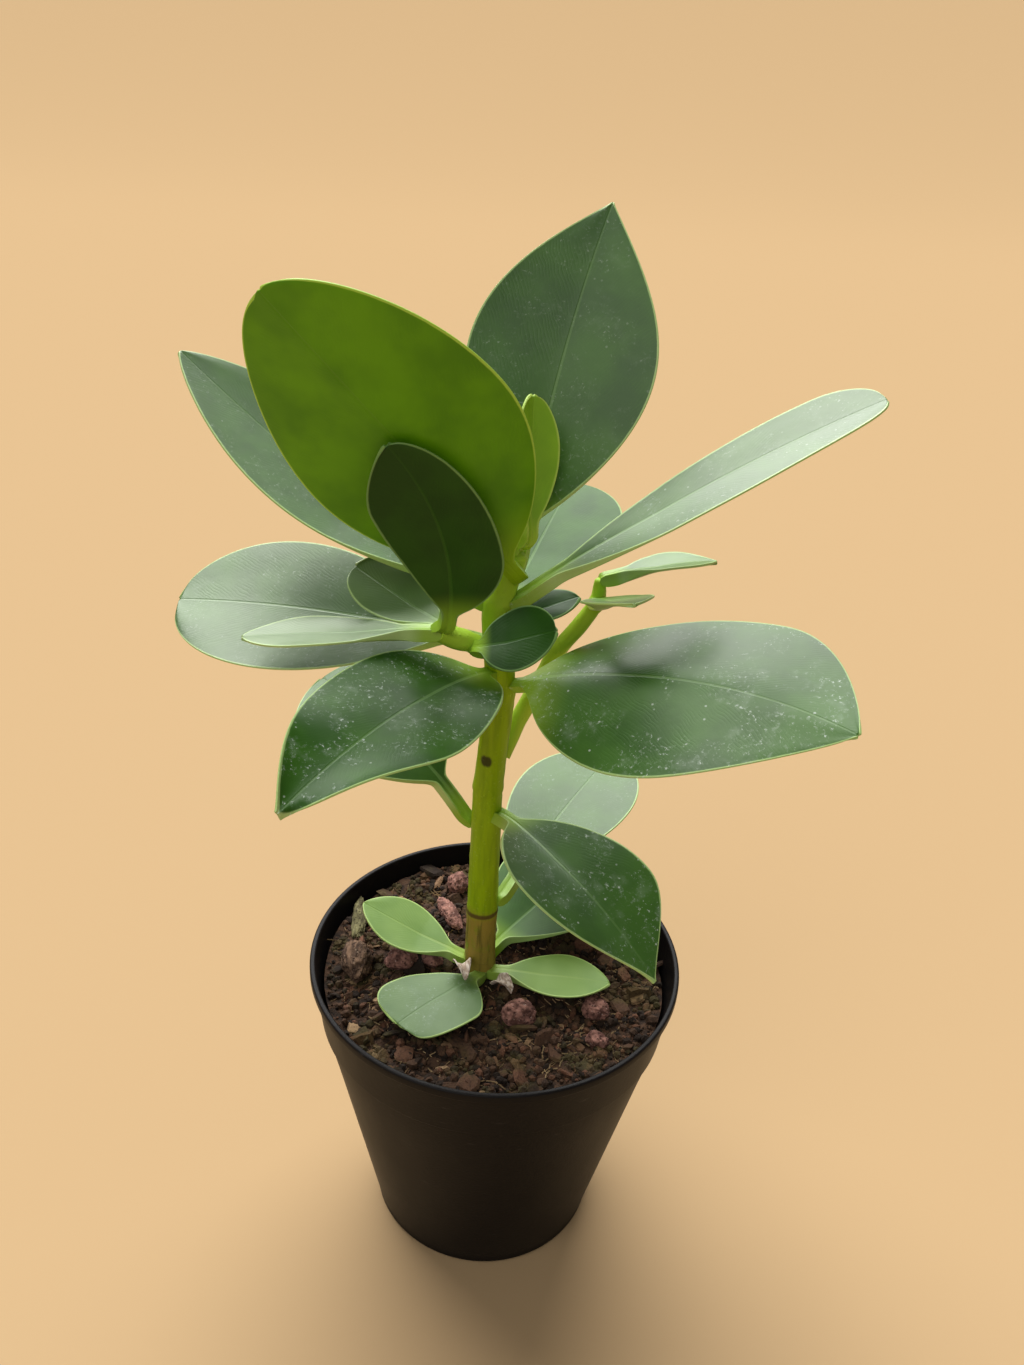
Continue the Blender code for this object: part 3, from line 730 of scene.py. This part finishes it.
# ---------------------------------------------------------------------------------------------
# The grown leaves: thick and leathery, dark green above and paler below, with a fine sunken
# midrib, close side veins that run forwards, and a thin clear yellow-green margin all round.
# ---------------------------------------------------------------------------------------------
PETIOLE_HALF_WIDTH = 1.7
PETIOLE_THICKNESS = 3.0
BLADE_THICKNESS = 0.85
MARGIN_THICKNESS = 0.45
TIP_HALF_WIDTH = 0.35
SPINE_STEPS = 48
ROOT_INTO_STEM = 3.0
ROOT_SHARE = 0.03
SKIN_DEPTH = 4.0
WAX_SHEEN = (0.94, 1.0, 0.84)
DUST_PALE = (0.62, 0.68, 0.62)


class Leaf(NamedTuple):
    """A leaf: where its petiole leaves the stem, then how its blade is held and shaped."""

    stem: tuple
    level: float  # height of the petiole's foot
    side: float  # heading of the petiole's foot from the stem's middle
    length: float  # petiole and blade along the midrib
    width: float
    heading: float  # of the middle of the midrib
    pitch: float  # of the middle of the midrib, up from level
    roll: float = 0.0  # about the midrib, raising the right-hand margin
    droop: float = 10.0  # turn of the midrib downwards from foot to tip
    swing: float = 0.0  # turn of the midrib to the left from foot to tip
    twist: float = 0.0  # turn of the blade about the midrib from foot to tip
    fold: float = 8.0  # rise of each half of the blade from the midrib
    widest: float = 0.55  # place of the greatest width along the blade
    point: float = 0.6  # 0.2 gives a blunt end, 1 a pointed one
    shoulder: float = 0.8  # 0.5 gives a broad base, 1 a tapered one
    petiole: float = 0.10  # share of the length
    wave: float = 0.0  # rise and fall of the margins towards the tip
    skew: float = 0.0  # shift of the greatest width, tipwards on the left half


GROWN_LEAVES = {
    "crown_back_leaf": Leaf(
        MAIN_STEM, 212, 70, 88, 45, 66, 61, -15, 22, -8, fold=12, widest=0.48, point=1.0),
    "upper_left_leaf": Leaf(
        MAIN_STEM, 202, 165, 93, 36, 163, 32.5, 10, -12, fold=6, point=0.75, skew=-0.06),
    "upper_right_leaf": Leaf(
        MAIN_STEM, 204, -10, 94, 21, 2, 34, -14, 14, -2, fold=10, widest=0.62, point=0.4, skew=0.22),
    "mid_left_leaf": Leaf(
        MAIN_STEM, 190, 150, 78, 43, 174, 2, 22, 20, fold=6, widest=0.6, point=0.42),
    "back_right_leaf": Leaf(
        MAIN_STEM, 197, 70, 58, 38, 73, 16, widest=0.62, point=0.45),
    "right_leaf": Leaf(
        MAIN_STEM, 181, -25, 86, 54, -29, 10.5, -20, 30, -22, fold=-16, widest=0.54, point=0.8,
        shoulder=0.45, petiole=0.05, skew=0.12),
    "left_front_leaf": Leaf(
        MAIN_STEM, 184, -125, 75, 37, -122, 0, 8, 40, fold=10, widest=0.48, point=1.0,
        shoulder=0.5, petiole=0.05, wave=3.5),
    "lower_left_leaf": Leaf(
        MAIN_STEM, 138, 165, 60, 42, 146, 24, 20, 70, widest=0.6, petiole=0.2),
    "lower_right_leaf": Leaf(
        MAIN_STEM, 141, -35, 61, 34, -46, -16, 0, 50, 12, fold=20, widest=0.5, point=1.15,
        petiole=0.08, skew=0.1),
    "lower_back_leaf": Leaf(
        MAIN_STEM, 111, 15, 66, 36, 60, 12, 0, 20, widest=0.6, point=0.5),
    "low_back_leaf": Leaf(
        MAIN_STEM, 88, 60, 52, 38, 48, 14, widest=0.5),
    "axil_leaf": Leaf(
        MAIN_STEM, 199, -32, 16.5, 10.5, 8, 22, -15, fold=10),
    "left_shoot_upright_leaf": Leaf(
        LEFT_SHOOT, 201, -10, 50, 25, -146, 71, 118, 0, 48, fold=10, widest=0.5, point=0.55,
        shoulder=0.7, petiole=0.08, skew=0.2),
    "left_shoot_long_leaf": Leaf(
        LEFT_SHOOT, 198.5, 180, 44, 15, -177, -4, 0, 5, fold=10, widest=0.6),
    "left_shoot_back_leaf": Leaf(
        LEFT_SHOOT, 196.5, 120, 29, 18, 153, 20, 20, 0, fold=10, widest=0.6, point=0.4),
    "left_shoot_round_leaf": Leaf(
        LEFT_SHOOT, 194.5, -60, 20.5, 17.5, -15, 25, -35, 0, fold=6, widest=0.52, point=0.45,
        shoulder=0.5, petiole=0.06),
    "right_shoot_tip_leaf": Leaf(
        RIGHT_SHOOT, 207, 0, 26, 12, 5, 12, 6, 20, fold=18, widest=0.5, point=0.8),
    "right_shoot_front_leaf": Leaf(
        RIGHT_SHOOT, 201.5, -80, 22, 18, -70, 25, 0, 10, fold=8, widest=0.5, point=0.8),
}
# Waxy leaves shine most, satin ones about half as much, and dull, shaded and weathered ones least.
# Dusty and weathered leaves carry the most dust. Shaded leaves are the darkest green, which is painted
# shade;
# leaves that catch glare are the lightest, which is painted sheen, and so are the right shoot's, in
# their own colour.
LEAVES_BY_FINISH = {
    "waxy_leaf": ("mid_left_leaf", "upper_right_leaf"),
    "satin_leaf": ("crown_back_leaf", "upper_left_leaf", "lower_back_leaf", "lower_left_leaf"),
    "dull_leaf": ("back_right_leaf", "low_back_leaf"),
    "dusty_leaf": ("right_leaf", "lower_right_leaf"),
    "weathered_leaf": ("left_front_leaf",),
    "painted_shade_leaf": ("left_shoot_upright_leaf", "left_shoot_round_leaf", "axil_leaf"),
    "painted_sheen_leaf": ("left_shoot_long_leaf", "left_shoot_back_leaf"),
    "shoot_leaf": ("right_shoot_tip_leaf", "right_shoot_front_leaf"),
}


def stem_at(route, level):
    """The middle of the stem at this height, and its radius; past the end it carries straight on."""
    if level >= route[-1][2]:
        return Vector((route[-1][0], route[-1][1], level)), route[-1][3]
    for low, high in zip(route, route[1:]):
        if low[2] <= level <= high[2]:
            here = Vector(low).lerp(Vector(high), (level - low[2]) / (high[2] - low[2]))
            return here.to_3d(), here.w
    raise ValueError(f"no stem at {level} mm")


def leaf_frames(leaf):
    """(foot-to-tip direction, right-hand side, upper side) at any share of the leaf's length."""
    heading, pitch, roll = (math.radians(a) for a in (leaf.heading, leaf.pitch, leaf.roll))
    along = Vector((
        math.cos(pitch) * math.cos(heading), math.cos(pitch) * math.sin(heading), math.sin(pitch)))
    level_side = Vector((math.sin(heading), -math.cos(heading), 0.0))
    side = Quaternion(along, -roll) @ level_side
    up = side.cross(along)
    spin = (
        along * math.radians(leaf.twist)
        - side * math.radians(leaf.droop)
        + up * math.radians(leaf.swing))

    def frame_at(share):
        turn = Quaternion(spin, spin.length * (share - 0.5)) if spin.length else Quaternion()
        return turn @ along, turn @ side, turn @ up

    return frame_at


def petiole_foot(leaf, frame_at):
    """Where the petiole starts, clear of the stem."""
    centre, radius = stem_at(leaf.stem, leaf.level)
    if leaf.level > leaf.stem[-1][2]:
        reach = 2.2
    else:
        reach = radius + 0.7 + PETIOLE_HALF_WIDTH * abs(frame_at(0.0)[0].z)
    side = math.radians(leaf.side)
    return centre + Vector((math.cos(side), math.sin(side), 0.0)) * reach


def spine_reader(leaf, frame_at):
    """A function from share of the length to the point of the midrib."""
    step = leaf.length / SPINE_STEPS
    places = [petiole_foot(leaf, frame_at)]
    for index in range(SPINE_STEPS):
        places.append(places[-1] + frame_at((index + 0.5) / SPINE_STEPS)[0] * step)
    centre = stem_at(leaf.stem, leaf.level)[0]
    inward = (centre - places[0]).normalized() - frame_at(0.0)[0] * 0.8
    inward = inward.normalized() * ROOT_INTO_STEM

    def spine(share):
        if share < 0:
            return places[0] + inward * (share / -ROOT_SHARE)
        index = min(int(share * SPINE_STEPS), SPINE_STEPS - 1)
        return places[index].lerp(places[index + 1], share * SPINE_STEPS - index)

    return spine


def half_width(leaf, share, across):
    """The width of one half of the leaf at this share of its length, the left one for across > 0."""
    blade = (share - leaf.petiole) / (1 - leaf.petiole)
    if blade <= 0:
        return PETIOLE_HALF_WIDTH
    widest = leaf.widest + (leaf.skew if across > 0 else -leaf.skew)
    if blade < widest:
        shape = math.sin(math.pi / 2 * blade / widest) ** leaf.shoulder
    else:
        shape = max(math.cos(math.pi / 2 * (blade - widest) / (1 - widest)), 0.0)
        shape **= leaf.point
    least = PETIOLE_HALF_WIDTH if blade < 0.5 else TIP_HALF_WIDTH
    return max(leaf.width / 2 * shape, least)


def blade_rise(leaf, share, across, width):
    """How far a point across the leaf stands above the midrib, for -1 <= across <= 1."""
    blade = max((share - leaf.petiole) / (1 - leaf.petiole), 0.0)
    fold = math.radians(leaf.fold) * (1 - 0.6 * blade)
    rounded = math.sqrt(across ** 2 + 0.01) - 0.1
    ripple = math.sin(3 * math.pi * blade + (0.8 if across > 0 else 0.0))
    flutter = noise.noise(Vector((share * 3.1, across * 1.3, leaf.length + leaf.heading)))
    edge_lift = (leaf.wave * ripple + 0.7 * flutter) * across ** 2 * blade
    return width * rounded * math.sin(fold) + edge_lift


def grow_leaf(name, leaf):
    """A closed leathery blade: a grid laid on the leaf's surface, thickened and rounded off."""
    rows, columns = (44, 22) if leaf.length > 40 else (26, 14)
    bpy.ops.object.select_all(action="DESELECT")
    bpy.ops.mesh.primitive_grid_add(x_subdivisions=rows, y_subdivisions=columns, size=2.0)
    piece = start_shape(name + "_detailed")
    frame_at = leaf_frames(leaf)
    spine = spine_reader(leaf, frame_at)
    thickness = piece.vertex_groups.new(name="thickness")
    measures = []
    for vert in piece.data.vertices:
        reach = (vert.co.x + 1) / 2
        share = -ROOT_SHARE + (1 + ROOT_SHARE) * (1 - (1 - reach) ** 1.3)
        across = math.sin(vert.co.y * math.pi / 2)
        width = half_width(leaf, share, across)
        along, side, up = frame_at(share)
        blade = min(max((share - leaf.petiole) / 0.3, 0.0), 1.0)
        middle = abs(across) * width
        keel = (1 - 0.85 * max(share, 0.0)) * math.exp(-(middle / 1.5) ** 2)
        rib = PETIOLE_THICKNESS + (BLADE_THICKNESS - PETIOLE_THICKNESS) * blade
        thick = rib + 0.9 * keel * blade
        thick += (MARGIN_THICKNESS - thick) * across ** 8 * blade
        groove = -0.22 * math.exp(-(middle / 0.8) ** 2) * blade * (1 - share)
        rise = blade_rise(leaf, share, across, width) + groove + rib / 2
        vert.co = (spine(share) - side * width * across + up * rise) * MM
        thickness.add([vert.index], thick / SKIN_DEPTH, "REPLACE")
        measures.append((
            share * leaf.length, across * width, (1 - abs(across)) * width, share))
    solid = piece.modifiers.new("thickness", "SOLIDIFY")
    solid.thickness = SKIN_DEPTH * MM
    solid.offset = -1.0
    solid.vertex_group = thickness.name
    bpy.ops.object.modifier_apply(modifier=solid.name)
    total = len(measures)
    for column, layer_name in enumerate(("along", "across", "edge", "share")):
        layer = piece.data.attributes.new(layer_name, "FLOAT", "POINT")
        layer.data.foreach_set("value", [row[column] for row in measures] * 2)
    layer = piece.data.attributes.new("under", "FLOAT", "POINT")
    layer.data.foreach_set("value", [0.0] * total + [1.0] * total)
    soften = piece.modifiers.new("soften", "SUBSURF")
    soften.levels = 1
    soften.render_levels = 1
    bpy.ops.object.modifier_apply(modifier=soften.name)
    return piece


class LeafColours(NamedTuple):
    """The colours of a leaf, with the lighter clouding of each face."""

    upper: tuple
    upper_light: tuple
    underside: tuple
    under_light: tuple
    margin: tuple
    midrib: tuple
    petiole: tuple


def leaf_finish(name, colours, roughness=0.36, shine=0.7, dust=0.0, vein=0.35):
    """The skin of a clusia leaf, coloured by how far each point is along it and from its edge."""
    finish = Finish(name, Specular_IOR_Level=shine, Specular_Tint=WAX_SHEEN)
    along, across, edge, share, under = (
        finish.attribute(layer) for layer in ("along", "across", "edge", "share", "under"))
    off_rib = abs(across)
    clouds = finish.noise(16.0, 3.0)
    mottle = finish.noise(2.4, 4.0)
    waver = finish.noise(6.0, 2.0)
    vein_phase = (along - off_rib * 1.7 + waver * 5.0) / 1.6
    veins = abs(finish.node("ShaderNodeMath", {"operation": "PINGPONG"}, {
        0: vein_phase, 1: 0.5}) * 2.0 - 1.0)
    vein_lines = finish.fade(veins, 0.40, 1.0) * finish.fade(finish.noise(7.0, 3.0), 0.35, 0.65)
    top = finish.blend(finish.fade(clouds, 0.30, 0.70), colours.upper, colours.upper_light)
    top = finish.blend(vein_lines * vein * 0.5, top, colours.upper_light)
    top = finish.blend(finish.fade(mottle, 0.60, 0.80) * 0.18, top, colours.upper_light)
    bottom = finish.blend(finish.fade(clouds, 0.30, 0.70), colours.underside, colours.under_light)
    bottom = finish.blend(vein_lines * vein * 0.35, bottom, colours.under_light)
    colour = finish.blend(finish.fade(under, 0.45, 0.55), top, bottom)
    rib = finish.fade(off_rib - (1.0 - share) * 0.30, 0.35, 0.05)
    colour = finish.blend(rib * (0.60 - share * 0.50), colour, colours.midrib)
    colour = finish.blend(finish.fade(share, 0.22, 0.02) * 0.85, colour, colours.petiole)
    clear_edge = finish.fade(edge + (mottle - 0.5) * 0.25, 0.60, 0.25)
    clear_edge = clear_edge * finish.fade(share, 0.02, 0.12) * 0.8
    colour = finish.blend(clear_edge, colour, colours.margin)
    rough = clouds * 0.06 + roughness + mottle * 0.04
    relief = vein_lines * -0.08 - rib * 0.35 + mottle * 0.25
    if dust:
        where = finish.fade(finish.noise(11.0, 2.0), 0.42, 0.56)
        drops = finish.fade(finish.cells(3.6), 0.10, 0.05) * finish.fade(clouds, 0.35, 0.55)
        lines = finish.fade(abs(finish.noise(3.0, 3.0) - 0.5), 0.022, 0.006)
        flecks = finish.fade(finish.noise(1.0, 6.0, roughness=0.7), 0.54, 0.64)
        film = finish.fade(finish.noise(4.5, 4.0), 0.50, 0.72)
        marks = drops * 0.8 + where * (lines * flecks + flecks * 0.25 + film * 0.14)
        marks = marks * dust * (1.0 - under)
        colour = finish.blend(marks, colour, DUST_PALE)
        rough = rough + marks * 0.25
    return finish.paint(colour, rough, relief, 0.16)


GROWN_COLOURS = LeafColours(
    upper=(0.018, 0.070, 0.004), upper_light=(0.040, 0.120, 0.010),
    underside=(0.095, 0.210, 0.028), under_light=(0.130, 0.240, 0.045),
    margin=(0.400, 0.570, 0.200), midrib=(0.170, 0.300, 0.090), petiole=(0.280, 0.470, 0.030))
# Painted shade: a darker copy of the grown colours, for leaves that face away from the skylight or sit
# between other parts.
PAINTED_SHADE_COLOURS = GROWN_COLOURS._replace(
    upper=(0.012, 0.046, 0.004), upper_light=GROWN_COLOURS.upper, margin=GROWN_COLOURS.midrib,
    midrib=GROWN_COLOURS.upper_light)
# Painted sheen: a paler copy of the grown colours, for leaves that catch the skylight's glare.
PAINTED_SHEEN_COLOURS = GROWN_COLOURS._replace(
    upper=(0.075, 0.150, 0.035), upper_light=(0.120, 0.210, 0.060))
SHOOT_COLOURS = GROWN_COLOURS._replace(
    upper=(0.060, 0.150, 0.020), upper_light=(0.110, 0.220, 0.035),
    underside=(0.130, 0.300, 0.012), under_light=(0.190, 0.390, 0.020),
    midrib=(0.200, 0.360, 0.060), petiole=(0.300, 0.500, 0.020))
grown_finishes = {
    "waxy_leaf": leaf_finish("waxy_leaf", GROWN_COLOURS, shine=0.95, dust=0.35),
    "satin_leaf": leaf_finish("satin_leaf", GROWN_COLOURS, shine=0.55, dust=0.2, vein=0.7),
    "dull_leaf": leaf_finish("dull_leaf", GROWN_COLOURS, shine=0.18),
    "dusty_leaf": leaf_finish("dusty_leaf", GROWN_COLOURS, shine=0.48, dust=0.65),
    "weathered_leaf": leaf_finish("weathered_leaf", GROWN_COLOURS, shine=0.2, dust=0.75),
    # This skin is painted shade for leaves out of the light, and the next one is painted sheen for
    # leaves in glare.
    "painted_shade_leaf": leaf_finish("painted_shade_leaf", PAINTED_SHADE_COLOURS, shine=0.2),
    "painted_sheen_leaf": leaf_finish("painted_sheen_leaf", PAINTED_SHEEN_COLOURS, shine=0.9),
    "shoot_leaf": leaf_finish("shoot_leaf", SHOOT_COLOURS),
}
finish_of_leaf = {
    name: grown_finishes[finish_name]
    for finish_name, names in LEAVES_BY_FINISH.items() for name in names}
for name, leaf in GROWN_LEAVES.items():
    finish_piece(grow_leaf(name, leaf), finish_of_leaf[name], [name], 60)

# ---------------------------------------------------------------------------------------------
# The crown's new growth: the large front leaf shows its yellow-green underside, its own paler green
# made bright as painted light shining through it, and two lime bud leaves stand between it and the back
# leaf.
# ---------------------------------------------------------------------------------------------
YOUNG_LEAVES = {
    "crown_front_leaf": Leaf(
        MAIN_STEM, 212, -70, 87, 53, -159, 49, -62, -10, -7, -25, fold=6, widest=0.48, point=0.5,
        shoulder=0.6, petiole=0.08),
    "bud_leaf_right": Leaf(
        MAIN_STEM, 218, 10, 34, 14, 95, 78, -40, 0, fold=35, widest=0.6, point=0.45),
    "bud_leaf_left": Leaf(
        MAIN_STEM, 218, 190, 37, 14, 130, 72, -30, 0, fold=25, widest=0.5, point=0.8),
}
front_finish = leaf_finish("front_leaf", LeafColours(
    upper=(0.040, 0.130, 0.020), upper_light=(0.070, 0.180, 0.030),
    # The underside colours are partly the leaf's own paler green and partly painted light shining
    # through it.
    underside=(0.065, 0.200, 0.001), under_light=(0.105, 0.290, 0.001),
    margin=(0.420, 0.640, 0.080), midrib=(0.090, 0.230, 0.004), petiole=(0.300, 0.500, 0.010)),
    shine=0.25)
lime_finish = leaf_finish("lime_leaf", LeafColours(
    upper=(0.190, 0.400, 0.006), upper_light=(0.270, 0.520, 0.010),
    underside=(0.210, 0.440, 0.006), under_light=(0.290, 0.540, 0.010),
    margin=(0.500, 0.680, 0.120), midrib=(0.330, 0.540, 0.040), petiole=(0.340, 0.540, 0.020)))
for name, leaf in YOUNG_LEAVES.items():
    finish_piece(
        grow_leaf(name, leaf), front_finish if name == "crown_front_leaf" else lime_finish,
        [name], 60)

# ---------------------------------------------------------------------------------------------
# Three small, thin leaves just above the soil, lighter than the grown ones. The broad one at the
# front is greyer and a little dusty.
# ---------------------------------------------------------------------------------------------
SMALL_LEAVES = {
    "small_left_leaf": Leaf(
        MAIN_STEM, 89, 175, 32, 18, 165, 20, 5, 0, fold=6, point=0.65),
    "small_right_leaf": Leaf(
        MAIN_STEM, 87, -35, 33, 17.5, -8, 5, fold=6, point=0.65),
    "small_front_leaf": Leaf(
        MAIN_STEM, 87, -88, 30, 26, -134, 3, 0, 20, fold=4, widest=0.58, point=0.22, skew=-0.2),
}
SMALL_COLOURS = LeafColours(
    upper=(0.105, 0.215, 0.024), upper_light=(0.165, 0.285, 0.044),
    underside=(0.160, 0.260, 0.050), under_light=(0.210, 0.320, 0.070),
    margin=(0.400, 0.560, 0.160), midrib=(0.300, 0.430, 0.110), petiole=(0.280, 0.430, 0.050))
SMALL_DARK_COLOURS = SMALL_COLOURS._replace(
    upper=(0.055, 0.125, 0.030), upper_light=(0.090, 0.170, 0.045), midrib=(0.120, 0.220, 0.070))
small_finish = leaf_finish("small_leaf", SMALL_COLOURS, roughness=0.45, shine=0.55)
small_dark_finish = leaf_finish(
    "small_dark_leaf", SMALL_DARK_COLOURS, roughness=0.45, shine=0.55, dust=0.3)
for name, leaf in SMALL_LEAVES.items():
    finish_piece(
        grow_leaf(name, leaf), small_dark_finish if name == "small_front_leaf" else small_finish,
        [name], 60)

# ---------------------------------------------------------------------------------------------
# Dried bud scales: papery, pale and curled, round the foot of the stem.
# ---------------------------------------------------------------------------------------------
SCALE_BROWN = (0.42, 0.31, 0.23)
SCALE_PALE = (0.80, 0.70, 0.60)
PAPER_THICKNESS = 0.3
DRY_SCALES = {  # foot, heading, length, width
    "dry_bract_left": ((-9.6, -4.6, 91.0), -75, 6.5, 5.0),
    "dry_bract_right": ((0.2, -9.4, 89.0), -35, 6.0, 4.5),
}
scale_finish = Finish("dry_scale", Specular_IOR_Level=0.3)
scale_veins = scale_finish.noise(0.8, 4.0, stretch=(1.0, 0.25, 1.0))
scale_colour = scale_finish.blend(
    scale_finish.fade(scale_veins, 0.40, 0.65), SCALE_BROWN, SCALE_PALE)
scale_material = scale_finish.paint(scale_colour, 0.75, scale_veins, 0.2)
for name, (foot, heading, length, width) in DRY_SCALES.items():
    bpy.ops.object.select_all(action="DESELECT")
    bpy.ops.mesh.primitive_grid_add(x_subdivisions=16, y_subdivisions=12, size=2.0)
    scale = start_shape(name + "_detailed")
    turn = Quaternion((0, 0, 1), math.radians(heading))
    for vert in scale.data.vertices:
        along, across = (vert.co.x + 1) / 2, vert.co.y
        half = width / 2 * (1 - 0.7 * along ** 2)
        curl = 1.8 * across ** 2 + 2.2 * math.sin(math.pi * along)
        crumple = 0.5 * noise.noise(Vector((along * 3, across * 2, length)))
        local = turn @ Vector((length * along, half * across, curl + crumple))
        vert.co = (Vector(foot) + local) * MM
    paper = scale.modifiers.new("paper", "SOLIDIFY")
    paper.thickness = PAPER_THICKNESS * MM
    paper.offset = 0.0
    bpy.ops.object.modifier_apply(modifier=paper.name)
    finish_piece(scale, scale_material, [name], 60)
